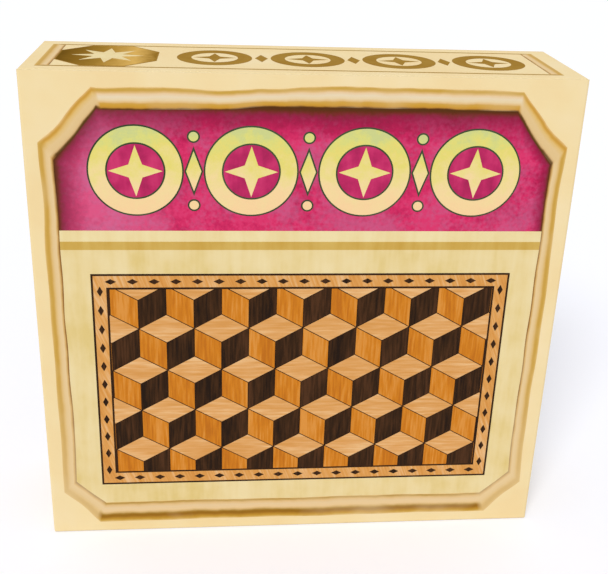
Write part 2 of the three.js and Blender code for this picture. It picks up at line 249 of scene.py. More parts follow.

# %% [markdown]
# One panel of board has three looks: the cream print outside, the bare liner inside, and cut edges that show
# the flutes as waves, the paper pale and the hollows between a little darker with painted shade. Each panel
# is one solid, so the shader picks the look by which way a face points, in the panel's own coordinates. On the
# sleeve, which has four walls, the print is on the faces that point away from the carton's middle. The flutes
# run up the walls and on into the flaps, so only the edges that cut across them show this painted shade.

# %% Board finish
CREAM_STOPS = [(0.35, "#F4D9A0"), (0.5, "#F5DDA6"), (0.65, "#F6E0AE")]
LINER_STOPS = [(0.35, "#CDBE9F"), (0.65, "#D9CCB1")]
# Cut edge: pale flute paper, with painted shade for the hollows between the flutes.
CUT_EDGE_AND_HOLLOW_SHADE_STOPS = [(0.2, "#EFDAA5"), (0.7, "#F4DEAC")]
BLOTCH_MM = 26
FLUTE_PITCH_MM = 3.3
# At a scale of one, a band texture repeats every 2 pi / 20 of a unit.
BAND_REPEAT = 2 * math.pi / 20
FACING_SHARE = 0.2


def printed_board(name, outward=None, flute_axis="X"):
    """Board that is printed where it faces outward, or away from the carton's middle if none is given."""
    material, tree, shader = new_finish(name)
    coordinates = add(tree, "TexCoord").outputs
    place = coordinates["Object"]
    if outward is None:
        level = add(tree, "VectorMath", {0: place, 1: (1, 1, 0)}, operation="MULTIPLY")
        outward = add(tree, "VectorMath", {0: level}, operation="NORMALIZE")
    side = add(tree, "VectorMath", {0: coordinates["Normal"], 1: outward}, operation="DOT_PRODUCT")

    blotch = add(tree, "TexNoise", {"Vector": place, "Scale": per_mm(BLOTCH_MM), "Detail": EVEN})
    printed = add(tree, "ValToRGB", {"Fac": blotch}, stops=CREAM_STOPS)
    clumps = add(tree, "TexNoise", {"Vector": place, "Scale": per_mm(FIBRE_CLUMP_MM), "Detail": RAGGED})
    liner = add(tree, "ValToRGB", {"Fac": clumps}, stops=LINER_STOPS)
    flutes = add(tree, "TexWave", {"Vector": place, "Scale": BAND_REPEAT * per_mm(FLUTE_PITCH_MM)},
                 bands_direction=flute_axis)
    # The darker bands at the flute pitch are painted shade in the hollows of the cut flutes.
    edge = add(tree, "ValToRGB", {"Fac": flutes.outputs["Fac"]}, stops=CUT_EDGE_AND_HOLLOW_SHADE_STOPS)

    is_liner = add(tree, "Math", {0: side, 1: -FACING_SHARE}, operation="LESS_THAN")
    is_printed = add(tree, "Math", {0: side, 1: FACING_SHARE}, operation="GREATER_THAN")
    bare = add(tree, "Mix", {0: is_liner, 6: edge, 7: liner}, data_type="RGBA")
    colour = add(tree, "Mix", {0: is_printed, 6: bare, 7: printed}, data_type="RGBA")
    varnish(tree, shader, place, colour)
    return material


print("flutes every", FLUTE_PITCH_MM, "mm")

# %% [markdown]
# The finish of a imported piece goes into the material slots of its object, so its shape isn't touched. Panels
# that face the same way and have their flutes in the same direction share one board.

# %% Board panels
def dress(node, material):
    """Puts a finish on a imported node, in place of the plain one that it came with."""
    for slot in nodes[node].material_slots:
        slot.link = "OBJECT"
        slot.material = material


# Litho-laminated board: warm cream with a satin sheen outside, dull greyish liner inside, pale at a cut,
# where the flute hollows are painted shade.
dress("carton_sleeve", printed_board("litho_board_sleeve"))
dress("carton_lid", printed_board("litho_board_lid", (0, 0, 1)))
dress("tuck_flap", printed_board("litho_board_tuck_flap", (0, -1, 0)))
top_flap_board = printed_board("litho_board_top_flaps", (0, 0, 1), "Y")
bottom_flap_board = printed_board("litho_board_bottom_flaps", (0, 0, -1))
bottom_side_flap_board = printed_board("litho_board_bottom_side_flaps", (0, 0, -1), "Y")
for side in ("left", "right"):
    dress(f"dust_flap_{side}", top_flap_board)
    dress(f"bottom_dust_flap_{side}", bottom_side_flap_board)
for layer in ("outer", "inner"):
    dress(f"bottom_{layer}_flap", bottom_flap_board)
print("board on", sum("litho_board" in node.material_slots[0].name for node in nodes.values()), "panels")

# %% [markdown]
# ## Layers of ink
# Offset print is a stack of thin films of ink, so the artwork is built that way: each colour is a closed film a
# few hundredths of a millimetre thick that stands on the board, with later colours a step higher. Real ink is
# thinner still, but this step is too small to see and keeps the layers apart. A film is drawn flat, in
# millimetres from a panel's lower left corner, and the panel sets it in space.

# %% Panels
RIGHTWARD, REARWARD, UPWARD = Vector((1, 0, 0)), Vector((0, 1, 0)), Vector((0, 0, 1))
sleeve_low, sleeve_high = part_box("carton_sleeve")
lid_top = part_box("carton_lid")[1].z
WIDTH_MM = (sleeve_high.x - sleeve_low.x) / MM
DEPTH_MM = (sleeve_high.y - sleeve_low.y) / MM
HEIGHT_MM = lid_top / MM


class Panel:
    """An outer face of the carton, with u to the right and v up as one looks at it, in millimetres."""

    def __init__(self, name, body, corner, across, upward, width, height):
        self.name = name
        self.body = body
        self.corner = Vector(corner)
        self.across = across
        self.upward = upward
        self.outward = across.cross(upward)
        self.width = width
        self.height = height

    def at(self, u, v, lift=0):
        return self.corner + (self.across * u + self.upward * v + self.outward * lift) * MM


left_x, right_x, front_y, back_y = sleeve_low.x, sleeve_high.x, sleeve_low.y, sleeve_high.y
FRONT = Panel("front", "root", (left_x, front_y, 0), RIGHTWARD, UPWARD, WIDTH_MM, HEIGHT_MM)
BACK = Panel("back", "root", (right_x, back_y, 0), -RIGHTWARD, UPWARD, WIDTH_MM, HEIGHT_MM)
LEFT = Panel("left", "root", (left_x, back_y, 0), -REARWARD, UPWARD, DEPTH_MM, HEIGHT_MM)
RIGHT = Panel("right", "root", (right_x, front_y, 0), REARWARD, UPWARD, DEPTH_MM, HEIGHT_MM)
LID = Panel("lid", "lid", (left_x, front_y, lid_top), RIGHTWARD, REARWARD, WIDTH_MM, DEPTH_MM)
print(f"front {WIDTH_MM:.0f} x {HEIGHT_MM:.0f} mm, side {DEPTH_MM:.0f} x {HEIGHT_MM:.0f} mm")

# %% [markdown]
# The mesh of a film is the flat drawing twice, once on the board and once lifted, with a wall along every edge
# that belongs to only one face. Numbers can ride on its points, such as how far across a moulding each one
# lies, and the finish then reads them as attributes.

# %% Films
INK_STEP_MM = 0.04
# The first ink lies on the board, ornaments lie over it, and an inlay lies over its border.
GROUND_LAYER, ORNAMENT_LAYER, INLAY_LAYER = 0, 1, 3
films = []


def sides_of(outline):
    """The sides of a closed outline, each as the two points that it joins."""
    return list(zip(outline, [*outline[1:], *outline[:1]]))


def film(name, panel, points, faces, layer, finish, **riders):
    """Lays one colour on a panel as a closed film, from flat points and the faces between them."""
    count = len(points)
    lift = (layer + 1) * INK_STEP_MM
    places = [panel.at(u, v) for u, v in points] + [panel.at(u, v, lift) for u, v in points]
    edges = {side for face in faces for side in sides_of(face)}
    walls = [(a, b, b + count, a + count) for a, b in sorted(edges) if (b, a) not in edges]
    outer = [tuple(index + count for index in face) for face in faces]
    inner = [tuple(reversed(face)) for face in faces]
    mesh = bpy.data.meshes.new(name)
    mesh.from_pydata(places, [], outer + inner + walls)
    for rider, values in riders.items():
        mesh.attributes.new(rider, "FLOAT", "POINT").data.foreach_set("value", [*values, *values])
    mesh.materials.append(finish)
    piece = bpy.data.objects.new(f"{panel.name}_{name}", mesh)
    bpy.context.scene.collection.objects.link(piece)
    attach(piece, panel.body)
    films.append(piece)


def shapes_film(name, panel, shapes, layer, finish, share_of=None):
    """A film of several separate outlines in one colour."""
    points = [point for shape in shapes for point in shape]
    faces, start = [], 0
    for shape in shapes:
        faces.append(list(range(start, start + len(shape))))
        start += len(shape)
    riders = {"share": [share_of(u, v) for u, v in points]} if share_of else {}
    film(name, panel, points, faces, layer, finish, **riders)


def rings_film(name, panel, rings, layer, finish, **riders):
    """A film of closed bands, each between an outer and an inner outline with as many points."""
    points, faces, share = [], [], []
    for outer, inner in rings:
        start, count = len(points), len(outer)
        points += [*outer, *inner]
        share += [0.0] * count + [1.0] * count
        for index in range(count):
            after = (index + 1) % count
            faces.append([start + index, start + after, start + count + after, start + count + index])
    film(name, panel, points, faces, layer, finish, share=share, **riders)


print("ink step", INK_STEP_MM, "mm")

# %% [markdown]
# ## Outlines
# All the artwork comes from a few flat forms. Corners cut off at a slant give the frame its old look, and
# discs, lozenges and stars make the ornaments. An outline can be moved outward by the same distance on every
# side, which is how each ornament gets its dark line.

# %% Flat forms
DISC_POINTS = 72


def rectangle(low, high):
    (u0, v0), (u1, v1) = low, high
    return [(u0, v0), (u1, v0), (u1, v1), (u0, v1)]


def clipped(low, high, lower_cut, upper_cut):
    """A rectangle with its four corners cut off at a slant, anticlockwise from its foot."""
    (u0, v0), (u1, v1) = low, high
    (cut_u, cut_v), (top_u, top_v) = lower_cut, upper_cut
    return [(u0 + cut_u, v0), (u1 - cut_u, v0), (u1, v0 + cut_v), (u1, v1 - top_v),
            (u1 - top_u, v1), (u0 + top_u, v1), (u0, v1 - top_v), (u0, v0 + cut_v)]


def around(centre, radii, first_turn=0.0):
    """Points evenly spaced round a centre, at the given distances from it."""
    turns = [first_turn + 2 * math.pi * index / len(radii) for index in range(len(radii))]
    return [(centre[0] + radius * math.cos(turn), centre[1] + radius * math.sin(turn))
            for radius, turn in zip(radii, turns)]


def disc(centre, radius):
    return around(centre, [radius] * DISC_POINTS)


def star(centre, outer, inner, tips):
    """A star with its first tip pointing up."""
    return around(centre, [outer, inner] * tips, math.pi / 2)


def lozenge(centre, half_width, half_height):
    (u, v) = centre
    return [(u, v - half_height), (u + half_width, v), (u, v + half_height), (u - half_width, v)]


def moved_out(outline, by):
    """A convex anticlockwise outline, moved outward by so many millimetres on every side."""
    moved = []
    for before, here, after in zip([outline[-1], *outline], outline, [*outline[1:], outline[0]]):
        reaching = (Vector(here) - Vector(before)).normalized()
        leaving = (Vector(after) - Vector(here)).normalized()
        first, second = Vector((reaching.y, -reaching.x)), Vector((leaving.y, -leaving.x))
        moved.append(tuple(Vector(here) + (first + second) * by / (1 + first.dot(second))))
    return moved


def inward(a, b):
    """The way into an anticlockwise outline, square to its side from one point to the next."""
    return Vector((a[1] - b[1], b[0] - a[0])).normalized()


def row(middle, pitch, count, height):
    """The centres of so many things in a level row."""
    return [(middle + (index - (count - 1) / 2) * pitch, height) for index in range(count)]


print("a disc has", DISC_POINTS, "points")

# %% [markdown]
# The drawn frame of the print was painted by hand, so its outlines wander a little, by two slow waves along
# their length that meet up where the line closes. For that, each side is first cut into short steps. A side
# can also drift off its straight line: a few distances, evenly spaced along it, say how far inward it lies.

# %% Hand-drawn outlines
LINE_STEP_MM = 2.5
WANDER_MM = 0.28
# Each wave: how often it swings on the way round, its share of the wander, and where it starts.
WANDER_WAVES = ((9, 0.6, 0.4), (23, 0.4, 2.1))


def steps_along(outline):
    """How many steps each side of an outline is cut into."""
    return [max(1, round((Vector(b) - Vector(a)).length / LINE_STEP_MM)) for a, b in sides_of(outline)]


def drift_at(drifts, share):
    """How far inward a side lies at a share of its length, eased from each given drift to the next."""
    place = share * (len(drifts) - 1)
    before = int(place)
    ease = (1 - math.cos(math.pi * (place - before))) / 2
    return drifts[before] * (1 - ease) + drifts[before + 1] * ease


def hand_drawn(outline, counts, drifts, phase):
    """The outline as an unsteady hand draws it, with the steps and the drifts of each side."""
    points = []
    for (a, b), count, side_drifts in zip(sides_of(outline), counts, drifts):
        start, end = Vector(a), Vector(b)
        for share in [step / count for step in range(count)]:
            points.append(start.lerp(end, share) + inward(start, end) * drift_at(side_drifts, share))
    centre = sum(points, Vector((0, 0))) / len(points)
    drawn = []
    for index, point in enumerate(points):
        turn = 2 * math.pi * index / len(points)
        push = sum(size * math.sin(waves * turn + start + phase) for waves, size, start in WANDER_WAVES)
        drawn.append(tuple(point + (point - centre).normalized() * push * WANDER_MM))
    return drawn


print("lines wander by up to", WANDER_MM, "mm")

# %% [markdown]
# ## Inks
# Litho ink on coated paper is flat in colour only at first sight. This artwork imitates washes of paint, so an
# ink here is a row of near colours that a noise pattern picks from, drawn out along the brush.

# %% Washes
WASH_MM = 17
EYE_WASH_MM = 7
STREAK_MM = 3.2
STREAK_STRETCH = 7
STREAK_SHARE = 0.35


def washed_ink(name, stops, wash_mm=WASH_MM, shine=VARNISH_SHINE):
    """A wash of near colours with faint upright streaks."""
    material, tree, shader = new_finish(name)
    place = add(tree, "TexCoord").outputs["Object"]
    wash = add(tree, "TexNoise", {"Vector": place, "Scale": per_mm(wash_mm), "Detail": RAGGED})
    drawn_out = add(tree, "VectorMath", {0: place, 1: (1, 1, 1 / STREAK_STRETCH)}, operation="MULTIPLY")
    streak = add(tree, "TexNoise", {"Vector": drawn_out, "Scale": per_mm(STREAK_MM), "Detail": SOFT})
    blend = add(tree, "Mix", {0: STREAK_SHARE, 2: wash, 3: streak})
    varnish(tree, shader, place, add(tree, "ValToRGB", {"Fac": blend}, stops=stops), shine)
    return material


# Pale straw and ochre rules: two clean stripes, the lower one like thin gold paint.
PALE_RULE = washed_ink("litho_ink_pale_straw", [(0.4, "#ECD598"), (0.6, "#F1DFA8")])
OCHRE_RULE = washed_ink("litho_ink_ochre", [(0.38, "#CAA044"), (0.62, "#D6B35E")])
# Straw ground: a soft parchment yellow with long faint streaks.
GROUND = washed_ink("litho_ink_straw", [(0.36, "#E3C981"), (0.5, "#EBD497"), (0.66, "#F0DCA6")])
# Bronze green: the near-black outline that makes the pale ornaments stand out.
LINE_INK = washed_ink("litho_ink_bronze_green", [(0.4, "#34422C"), (0.6, "#465239")])
# Bronze: the single brown-gold ink of the lid. Its powder soaks up the varnish, so it looks matt.
LID_INK = washed_ink("litho_ink_bronze", [(0.38, "#A47C33"), (0.62, "#AD873D")], shine=NO_SHINE)
# Plum: the dark wash inside the roundels.
EYE_INK = washed_ink("litho_ink_plum", [(0.36, "#A42352"), (0.5, "#BF2B60"), (0.64, "#D33B6E")], EYE_WASH_MM)
# Umber: the dark lines that edge the inlay.
BACKING = washed_ink("litho_ink_umber", [(0.4, "#2A180B"), (0.6, "#3B2412")])
print("washes:", sum(material.name.startswith("litho_ink") for material in bpy.data.materials))

# %% [markdown]
# Some inks run from one colour to another across a shape, along the share that rides on its points. Stains
# push the colours about, so that no straight bands show.

# %% Inks that run from one colour to another
STAIN_MM = 7
STAIN_RAGGEDNESS = 0.72
STAIN_LIMITS = (0.3, 0.7)
ORNAMENT_SWAY_SHARE = 0.2
GOLD_SWAY_SHARE = 0.06


def swayed_share(tree, noise, noise_limits, sway_share):
    """The share that rides on the points, pushed to and fro by a noise."""
    share = add(tree, "Attribute", attribute_name="share").outputs["Fac"]
    sway = add(tree, "MapRange", {"Value": noise, "From": noise_limits, "To": (-sway_share, sway_share)})
    return add(tree, "Math", {0: share, 1: sway}, operation="ADD", use_clamp=True)


def running_ink(name, stops, sway_share, shine=VARNISH_SHINE):
    """Ink that runs through its colours along the share on the points, swayed by stains."""
    material, tree, shader = new_finish(name)
    place = add(tree, "TexCoord").outputs["Object"]
    stain = add(tree, "TexNoise", {"Vector": place, "Scale": per_mm(STAIN_MM), "Detail": RAGGED,
                                   "Roughness": STAIN_RAGGEDNESS})
    swayed = swayed_share(tree, stain, STAIN_LIMITS, sway_share)
    varnish(tree, shader, place, add(tree, "ValToRGB", {"Fac": swayed}, stops=stops), shine)
    return material


# Peach to lemon: aged paper white, peach at the foot and a mottled greenish lemon at the top.
ORNAMENT_STOPS = [(0.0, "#FAD39C"), (0.3, "#F6DA9C"), (0.5, "#EFDC8C"), (0.7, "#E9DA74"), (0.85, "#DEDB7C"),
                  (1.0, "#CFD489")]
ORNAMENT_INK = running_ink("litho_ink_peach_to_lemon", ORNAMENT_STOPS, ORNAMENT_SWAY_SHARE)
# Old gold: imitates a polished plate, dark at one end and bright near the other, but is as matt as the bronze.
GOLD_STOPS = [(0.0, "#74541A"), (0.2, "#8C6722"), (0.4, "#A27B2E"), (0.55, "#BA8F3E"), (0.78, "#E0B45F"),
              (1.0, "#987026")]
GOLD_INK = running_ink("litho_ink_old_gold", GOLD_STOPS, GOLD_SWAY_SHARE, NO_SHINE)
print("running inks: peach to lemon, old gold")

# %% [markdown]
# The strong pink band darkens towards the frame, as if the frame stood proud of it. That shade depends only on
# how deep inside the band a point lies, and the shader works this out from the band's own edges: the distance
# to each edge is a dot product with a fixed vector, and the smallest one counts.

# %% Shade under the frame
# How far the shade reaches in from the right, the top and the left edge of the band, and from the corners cut
# off between them, as shares of its full depth. The edges are counted anticlockwise from the foot.
SHADE_REACHES = {1: 0.4, 2: 0.4, 3: 1.0, 4: 0.85, 5: 0.85}


def depth_inside(tree, place, panel, outline):
    """How deep a point lies inside the nearest edge that casts shade, in millimetres over the edge's reach."""
    nearest = None
    for index, edge_reach in SHADE_REACHES.items():
        a, b = [Vector(end) for end in sides_of(outline)[index]]
        u, v = inward(a, b)
        normal = (panel.across * u + panel.upward * v) / MM / edge_reach
        along = add(tree, "VectorMath", {0: place, 1: tuple(normal)}, operation="DOT_PRODUCT")
        depth = add(tree, "Math", {0: along, 1: panel.at(*a).dot(normal)}, operation="SUBTRACT")
        if nearest is not None:
            depth = add(tree, "Math", {0: nearest, 1: depth}, operation="MINIMUM")
        nearest = depth
    return nearest


print("edges that cast shade:", len(SHADE_REACHES))

# %% [markdown]
# The pink itself is like gouache, a thick and cloudy wash. One noise, with fine grain mixed in, says how full
# the colour is. A second one, read from another place, rubs cooler scuffs into it. At the left end of the band
# the wash is thinner and paler.

# %% Shaded pink
PINK_STOPS = [(0.0, "#583010"), (0.04, "#662D16"), (0.08, "#782A26"), (0.13, "#882338"), (0.2, "#971D42"),
              (0.32, "#A51C48"), (0.5, "#B81F50"), (0.68, "#C9265B"), (0.85, "#D52D61"), (1.0, "#DD386B")]
SHADE_DEPTH_MM = 13.5
PINK_CLOUD_MM, PINK_GRAIN_MM = 11, 1.6
GRAIN_SHARE = 0.4
# Each cloud: its layers of noise, and how strong the fine ones are.
BODY_CLOUD, COOL_CLOUD = (6.0, 0.6), (5.0, 0.5)
BODY_LIMITS, FULLNESS_LIMITS = (0.34, 0.66), (0.5, 1.26)
ELSEWHERE_M = (1, 1, 1)
COOL_PINK_HEX = "#C0688F"
COOL_LIMITS, COOL_SHARE = (0.44, 0.62), 0.5
PALE_PINK_HEX = "#E090B8"
PALE_ENDS, PALE_SHARE = (0.27, 0.15), 0.23


def shaded_pink(name, panel, outline):
    """The pink wash of a band, darker towards the frame and paler at its left end."""
    material, tree, shader = new_finish(name)
    place = add(tree, "TexCoord").outputs["Object"]

    def grainy_cloud(spot, layers, raggedness):
        cloud = add(tree, "TexNoise", {"Vector": spot, "Scale": per_mm(PINK_CLOUD_MM), "Detail": layers,
                                       "Roughness": raggedness})
        grain = add(tree, "TexNoise", {"Vector": spot, "Scale": per_mm(PINK_GRAIN_MM), "Detail": EVEN})
        return add(tree, "Mix", {0: GRAIN_SHARE, 2: cloud, 3: grain})

    def washed_over(below, strength, hex_value):
        out_of_shade = add(tree, "Math", {0: strength, 1: share}, operation="MULTIPLY")
        return add(tree, "Mix", {0: out_of_shade, 6: below, 7: ink(hex_value)}, data_type="RGBA")

    body = grainy_cloud(place, *BODY_CLOUD)
    fullness = add(tree, "MapRange", {"Value": body, "From": BODY_LIMITS, "To": FULLNESS_LIMITS})
    depth = depth_inside(tree, place, panel, outline)
    share = add(tree, "Math", {0: depth, 1: SHADE_DEPTH_MM}, operation="DIVIDE", use_clamp=True)
    clouded = add(tree, "Math", {0: share, 1: fullness}, operation="MULTIPLY")
    pink = add(tree, "ValToRGB", {"Fac": clouded}, stops=PINK_STOPS)

    elsewhere = add(tree, "VectorMath", {0: place, 1: ELSEWHERE_M}, operation="ADD")
    scuffs = grainy_cloud(elsewhere, *COOL_CLOUD)
    coolness = add(tree, "MapRange", {"Value": scuffs, "From": COOL_LIMITS, "To": (0, COOL_SHARE)})
    cooled = washed_over(pink, coolness, COOL_PINK_HEX)

    along = add(tree, "VectorMath", {0: place, 1: tuple(panel.across / MM)}, operation="DOT_PRODUCT")
    ends = [panel.at(end * panel.width, 0).dot(panel.across) / MM for end in PALE_ENDS]
    paleness = add(tree, "MapRange", {"Value": along, "From": ends, "To": (0, PALE_SHARE)})
    varnish(tree, shader, place, washed_over(cooled, paleness, PALE_PINK_HEX))
    return material


print("the shade reaches", SHADE_DEPTH_MM, "mm into the band")

# %% [markdown]
# ## The drawn frame
# The border imitates a carved moulding: an ochre line, a pale hollow, and a darker line where it meets the
# picture. On the upright bars the inner line is thin and brown. On the top bar it is broad and golden, across
# the upper corners it is dark, and on the foot bar the outer line is broad and dark, as if the light came from
# above. Four rows of colours hold that, from the outer edge of the bar to its inner one.

# %% Colours of the moulding
UPRIGHT_STOPS = [(0.0, "#E2BE76"), (0.08, "#D2A852"), (0.2, "#CB9F45"), (0.3, "#CFA34C"), (0.4, "#DFB971"),
                 (0.55, "#E6C68E"), (0.76, "#EBCC96"), (0.86, "#D9B06C"), (0.94, "#A87A3A"), (1.0, "#855628")]
TOP_STOPS = [(0.0, "#EBCB8C"), (0.05, "#CFA54C"), (0.13, "#CBA044"), (0.21, "#DDB56E"), (0.29, "#EBCB9C"),
             (0.42, "#ECD9B4"), (0.56, "#EBD3A4"), (0.66, "#E4BE80"), (0.73, "#D2A246"), (0.84, "#D09B34"),
             (0.91, "#C58E34"), (0.96, "#80541E"), (1.0, "#553416")]
CORNER_STOPS = [(0.0, "#E9C88C"), (0.05, "#DCB064"), (0.11, "#CF9B42"), (0.17, "#CE9B3E"), (0.24, "#DDB059"),
                (0.32, "#E3BE76"), (0.5, "#E5C58C"), (0.76, "#E3C288"), (0.84, "#D8B27A"), (0.89, "#94713F"),
                (0.93, "#634119"), (1.0, "#573814")]
FOOT_STOPS = [(0.0, "#E3C27C"), (0.08, "#CA9D3E"), (0.17, "#B6852A"), (0.26, "#9B6C1E"), (0.33, "#976918"),
              (0.4, "#AD8438"), (0.48, "#DCB878"), (0.56, "#ECCB96"), (0.72, "#E9CB9A"), (0.84, "#E4C084"),
              (0.92, "#C8A25A"), (0.97, "#B58C46"), (1.0, "#DAB66C")]
# Which sides of the ring each row is for, counted anticlockwise from the foot. The uprights have the first row.
OTHER_BARS = {"in_top": ((4,), TOP_STOPS), "in_corner": ((3, 5), CORNER_STOPS), "in_foot": ((0,), FOOT_STOPS)}
print("rows of colour in the moulding:", 1 + len(OTHER_BARS))

# %% [markdown]
# Numbers on the points say how far across the bar each one lies and in which bar, and the finish picks its
# colour by them. The uprights fade towards the foot, and in places the brush ran dry, which a slow noise shows
# by fading the lines.

# %% Moulding ink
UNSTEADY_MM = 7
UNSTEADY_LIMITS, UNSTEADY_SHARE = (0, 1), 0.07
DRY_BRUSH_HEX = "#E9CD9A"
DRY_BRUSH_MM = 24
DRY_BRUSH_LIMITS, DRY_BRUSH_SHARE = (0.5, 0.7), 0.35
FADE_HEIGHTS_MM = (80, 20)
FADE_SHARE = 0.45


def moulding_ink(name):
    """Ink that reads as a carved frame, from how far across it and in which bar each point lies."""
    material, tree, shader = new_finish(name)
    place = add(tree, "TexCoord").outputs["Object"]
    hand = add(tree, "TexNoise", {"Vector": place, "Scale": per_mm(UNSTEADY_MM), "Detail": EVEN})
    swayed = swayed_share(tree, hand, UNSTEADY_LIMITS, UNSTEADY_SHARE)

    upright = add(tree, "ValToRGB", {"Fac": swayed}, stops=UPRIGHT_STOPS)
    height = add(tree, "SeparateXYZ", {"Vector": place}).outputs["Z"]
    high, low = FADE_HEIGHTS_MM
    fade = add(tree, "MapRange", {"Value": height, "From": (high * MM, low * MM), "To": (0, FADE_SHARE)})
    carved = add(tree, "Mix", {0: fade, 6: upright, 7: ink(DRY_BRUSH_HEX)}, data_type="RGBA")
    for rider, (_, stops) in OTHER_BARS.items():
        in_bar = add(tree, "Attribute", attribute_name=rider).outputs["Fac"]
        bar = add(tree, "ValToRGB", {"Fac": swayed}, stops=stops)
        carved = add(tree, "Mix", {0: in_bar, 6: carved, 7: bar}, data_type="RGBA")

    brush = add(tree, "TexNoise", {"Vector": place, "Scale": per_mm(DRY_BRUSH_MM), "Detail": SOFT})
    dryness = add(tree, "MapRange", {"Value": brush, "From": DRY_BRUSH_LIMITS, "To": (0, DRY_BRUSH_SHARE)})
    colour = add(tree, "Mix", {0: dryness, 6: carved, 7: ink(DRY_BRUSH_HEX)}, data_type="RGBA")
    varnish(tree, shader, place, colour)
    return material


# Moulding inks: ochre, blush and umber that together look like a rounded wooden frame.
MOULDING = moulding_ink("litho_ink_moulding")
print("the moulding fades below", FADE_HEIGHTS_MM[0], "mm")

# %% [markdown]
# The frame itself is one ring between two clipped rectangles, drawn with as many points on each, so that every
# point of the outer line has its partner on the inner one. Its top bar was drawn with two strokes, the left one
# lower than the right one. The uprights swing in a little below the corners and again near the foot, and the
# outer line of each clipped corner bows in.

# %% Frame on the four walls
OUTER_LOW_MM, OUTER_FROM_TOP_MM = (5.2, 4.8), 4.8
INNER_LOW_MM, INNER_FROM_TOP_MM = (10.5, 14.3), 12.2
OUTER_CUTS_MM = ((14, 14.8), (18.5, 20.5))
INNER_CUTS_MM = ((11.5, 10.5), (14.7, 19.5))
FULL_CUT_WIDTH_MM = 90
STRAIGHT = (0, 0)
LOWER_CORNER_DRIFTS_MM = (0, 0.7, 0)
OUTER_UPRIGHT_DRIFTS_MM = (0, 0.8, 0.1, 0, 0.3, 0.5, 0.4, 0)
INNER_UPRIGHT_DRIFTS_MM = (0, 0.2, 0, 0, 0.4, 0.5, 0.5, 0)
OUTER_TOP_DRIFTS_MM = (-0.1, -0.75, -0.65, -0.6, -0.9, -0.7, 0.2, 1.25, 0.65, 0.6, 0.9)
INNER_TOP_DRIFTS_MM = (-0.35, -0.45, -0.45, -0.65, -0.75, -0.95, -0.55, 0.65, 0.95, 0.95, 1.0)
OUTER_DRIFTS_MM = (STRAIGHT, LOWER_CORNER_DRIFTS_MM, OUTER_UPRIGHT_DRIFTS_MM[::-1], (0, 0.9, 0.2, 0),
                   OUTER_TOP_DRIFTS_MM, (0.9, 0.5, 1.0, 0), OUTER_UPRIGHT_DRIFTS_MM, LOWER_CORNER_DRIFTS_MM)
INNER_DRIFTS_MM = (STRAIGHT, STRAIGHT, INNER_UPRIGHT_DRIFTS_MM[::-1], (0, 0.4, 0),
                   INNER_TOP_DRIFTS_MM, (1.0, 0.8, 0), INNER_UPRIGHT_DRIFTS_MM, STRAIGHT)
OUTER_PHASE, INNER_PHASE = 0.0, 1.3
WALLS = (FRONT, BACK, LEFT, RIGHT)


def frame_outline(panel, low, from_top, cuts):
    """One outline of the drawn frame. On a narrow panel its corners are cut less deep."""
    narrowing = min(1, panel.width / FULL_CUT_WIDTH_MM)
    high = (panel.width - low[0], panel.height - from_top)
    return clipped(low, high, *[(cut_u * narrowing, cut_v) for cut_u, cut_v in cuts])


for panel in WALLS:
    outer = frame_outline(panel, OUTER_LOW_MM, OUTER_FROM_TOP_MM, OUTER_CUTS_MM)
    inner = frame_outline(panel, INNER_LOW_MM, INNER_FROM_TOP_MM, INNER_CUTS_MM)
    counts = steps_along(outer)
    lines = (hand_drawn(outer, counts, OUTER_DRIFTS_MM, OUTER_PHASE),
             hand_drawn(inner, counts, INNER_DRIFTS_MM, INNER_PHASE))
    riders = {rider: [float(side in sides) for side, count in enumerate(counts) for _ in range(count)] * 2
              for rider, (sides, _) in OTHER_BARS.items()}
    rings_film("frame", panel, [lines], ORNAMENT_LAYER, MOULDING, **riders)
print("frame drawn on", len(films), "walls")

# %% [markdown]
# ## Grounds and rules
# Inside the frame, each wall carries a pink band across its top, a pale rule, an ochre rule and a straw
# ground. The band is the upper part of the frame's inner outline, cut off level, and the ground is the rest.
# They run a little way under the frame, so that no board shows between them.

# %% Band, rules and ground
UNDERLAP_MM = 1.5
BAND_FOOT_MM = 134
PALE_FOOT_MM = 129.7
OCHRE_FOOT_MM = 126.4

for panel in WALLS:
    inner = frame_outline(panel, INNER_LOW_MM, INNER_FROM_TOP_MM, INNER_CUTS_MM)
    wide = moved_out(inner, UNDERLAP_MM)
    foot_left, foot_right, right_foot, *top_corners, left_foot = wide
    u0, u1 = left_foot[0], right_foot[0]
    band = [(u0, BAND_FOOT_MM), (u1, BAND_FOOT_MM), *top_corners]
    ground = [foot_left, foot_right, right_foot, (u1, OCHRE_FOOT_MM), (u0, OCHRE_FOOT_MM), left_foot]
    lit_edge = [(inner[-1][0], BAND_FOOT_MM), (inner[2][0], BAND_FOOT_MM), *inner[3:-1]]
    # Magenta wash: the one strong colour, cloudy like gouache, with a brown shade under the frame.
    pink = shaded_pink(f"litho_ink_magenta_{panel.name}", panel, lit_edge)
    pale_rule = rectangle((u0, PALE_FOOT_MM), (u1, BAND_FOOT_MM))
    ochre_rule = rectangle((u0, OCHRE_FOOT_MM), (u1, PALE_FOOT_MM))
    for name, shape, finish in (("band", band, pink), ("pale_rule", pale_rule, PALE_RULE),
                                ("ochre_rule", ochre_rule, OCHRE_RULE), ("ground", ground, GROUND)):
        shapes_film(name, panel, [shape], GROUND_LAYER, finish)
print("films so far:", len(films))

# %% [markdown]
# ## Roundels
# The band carries four roundels in a row, for the four that win, joined by lozenges. Each is built up as a
# printer would: a dark disc, a slightly smaller pale one, a dark line inside it, a plum eye, and a pale star.
# Beads fill the hollows above and below the lozenges.

# %% Roundels and lozenges
OUTLINE_MM = 0.6
EYE_SHARE = 0.62
STAR_SHARE = 0.56
WAIST_SHARE = 0.2
STAR_TIPS = 4
LINK_HALF_MM = (2.7, 7.5)


def roundel_star(centre, radius):
    return star(centre, radius * STAR_SHARE, radius * WAIST_SHARE, STAR_TIPS)


